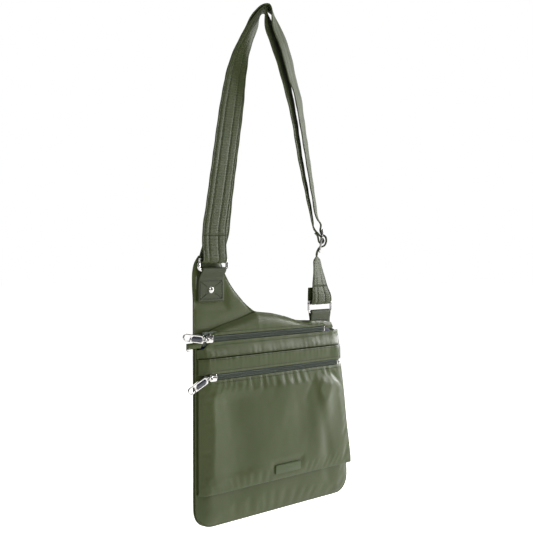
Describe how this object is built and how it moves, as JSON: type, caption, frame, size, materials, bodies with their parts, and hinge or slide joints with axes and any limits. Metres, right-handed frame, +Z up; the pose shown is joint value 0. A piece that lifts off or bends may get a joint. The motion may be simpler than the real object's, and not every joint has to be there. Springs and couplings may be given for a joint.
{
  "type": "crossbody bag",
  "caption": "Flat crossbody sling bag with a shoulder wing, zipped main compartment, zipped front pocket and adjustable strap on metal rings.",
  "frame": {"origin": "under the crown of the strap, where a hook or a hand carries the bag", "axes": "+X to the viewer's right along the bag's width when its front is seen, front faces -Y, +Z up along the hanging bag"},
  "size_m": [0.281, 0.0433, 0.5916],
  "materials": {
    "nylon": "satin woven nylon, olive green",
    "webbing": "folded and stitched nylon strap, olive green",
    "tab": "coated nylon or leather-look tab, olive green",
    "zip_tape": "woven polyester tape, dark grey-green",
    "zip_coil": "nylon coil, dark grey-green",
    "nickel": "bright nickel plate",
    "inlay": "dark enamel",
    "lining": "plain weave, dark navy",
    "foam": "thin foam",
    "badge": "moulded, dark green, blank"
  },
  "bodies": {
    "bag": {"back_foam": "foam", "back_panel": "nylon", "back_piping": "nylon", "badge": "badge", "body_gusset": "nylon", "front_panel": "nylon", "front_piping": "nylon", "front_yoke": "nylon", "left_tab": "tab", "lining_back": "lining", "lining_front": "lining", "main_zip_coil_lower": "zip_coil", "main_zip_coil_upper": "zip_coil", "main_zip_stops": "nickel", "main_zip_tape_lower": "zip_tape", "main_zip_tape_upper": "zip_tape", "pocket_facing": "nylon", "pocket_gusset": "nylon", "pocket_panel": "nylon", "pocket_zip_coil_lower": "zip_coil", "pocket_zip_coil_upper": "zip_coil", "pocket_zip_stops": "nickel", "pocket_zip_tape_lower": "zip_tape", "pocket_zip_tape_upper": "zip_tape", "right_tab": "tab", "rivet_back": "nickel", "rivet_cap": "nickel", "strap_fold_back": "webbing", "strap_lower_strand": "webbing", "strap_return_left": "webbing", "strap_return_right": "webbing", "strap_ring_loop": "webbing", "strap_through_left": "webbing", "strap_through_right": "webbing", "top_facing": "nylon", "top_seam": "nylon", "wing_front": "nylon", "zip_end_tab": "nylon"},
    "main_slider": {"main_zip_slider": "nickel"},
    "main_link": {"main_zip_link": "nickel"},
    "main_pull": {"main_zip_pull": "nickel", "main_zip_inlay": "inlay"},
    "main_gate": {"main_zip_gate": "nickel"},
    "pocket_slider": {"pocket_zip_slider": "nickel"},
    "pocket_link": {"pocket_zip_link": "nickel"},
    "pocket_pull": {"pocket_zip_pull": "nickel", "pocket_zip_inlay": "inlay"},
    "pocket_gate": {"pocket_zip_gate": "nickel"},
    "end_ring": {"zip_end_ring": "nickel"},
    "left_ring": {"left_ring": "nickel"},
    "right_ring": {"right_ring": "nickel"},
    "strap_slider": {"strap_slider": "nickel", "strap_slider_bend": "webbing", "strap_slider_loop": "webbing"}
  },
  "joints": [
    {"name": "main_zip_slide", "type": "slide", "parent": "bag", "child": "main_slider", "axis": [1, 0, 0], "range_m": [0, 0.186]},
    {"name": "main_link_lift", "type": "hinge", "parent": "main_slider", "child": "main_link", "pos_m": [-0.095, -0.0079, -0.377], "axis": [0, 0, 1], "range_deg": [0, 85]},
    {"name": "main_pull_swing", "type": "hinge", "parent": "main_link", "child": "main_pull", "pos_m": [-0.1022, -0.0079, -0.377], "axis": [0, -1, 0], "range_deg": [-60, 55]},
    {"name": "main_gate_open", "type": "hinge", "parent": "main_pull", "child": "main_gate", "pos_m": [-0.12399, -0.0079, -0.37714], "axis": [0, 1, 0], "range_deg": [0, 24], "stiffness_Nm_per_rad": 0.002, "springref_deg": -17.19},
    {"name": "pocket_zip_slide", "type": "slide", "parent": "bag", "child": "pocket_slider", "axis": [1, 0, 0], "range_m": [0, 0.204]},
    {"name": "pocket_link_lift", "type": "hinge", "parent": "pocket_slider", "child": "pocket_link", "pos_m": [-0.096, -0.0149, -0.419], "axis": [0, 0, 1], "range_deg": [0, 85]},
    {"name": "pocket_pull_swing", "type": "hinge", "parent": "pocket_link", "child": "pocket_pull", "pos_m": [-0.1032, -0.0149, -0.419], "axis": [0, -1, 0], "range_deg": [-30, 62]},
    {"name": "pocket_gate_open", "type": "hinge", "parent": "pocket_pull", "child": "pocket_gate", "pos_m": [-0.1214, -0.0149, -0.43099], "axis": [0, 1, 0], "range_deg": [0, 24], "stiffness_Nm_per_rad": 0.002, "springref_deg": -17.19},
    {"name": "end_ring_swing", "type": "hinge", "parent": "bag", "child": "end_ring", "pos_m": [-0.1222, -0.0038, -0.384], "axis": [0, 1, 0], "range_deg": [-45, 45]},
    {"name": "left_ring_tilt", "type": "hinge", "parent": "bag", "child": "left_ring", "pos_m": [-0.084, -0.0026, -0.301], "axis": [1, 0, 0], "range_deg": [-12, 28], "deforming": ["strap_ring_loop"]},
    {"name": "right_ring_tilt", "type": "hinge", "parent": "bag", "child": "right_ring", "pos_m": [0.098, -0.001, -0.3558], "axis": [1, 0, 0], "range_deg": [-22, 22], "deforming": ["strap_fold_back"]},
    {"name": "strap_slider_slide", "type": "slide", "parent": "bag", "child": "strap_slider", "axis": [-0.0931, 0.1034, -0.9903], "range_m": [0, 0.018], "deforming": ["strap_lower_strand"]}
  ]
}
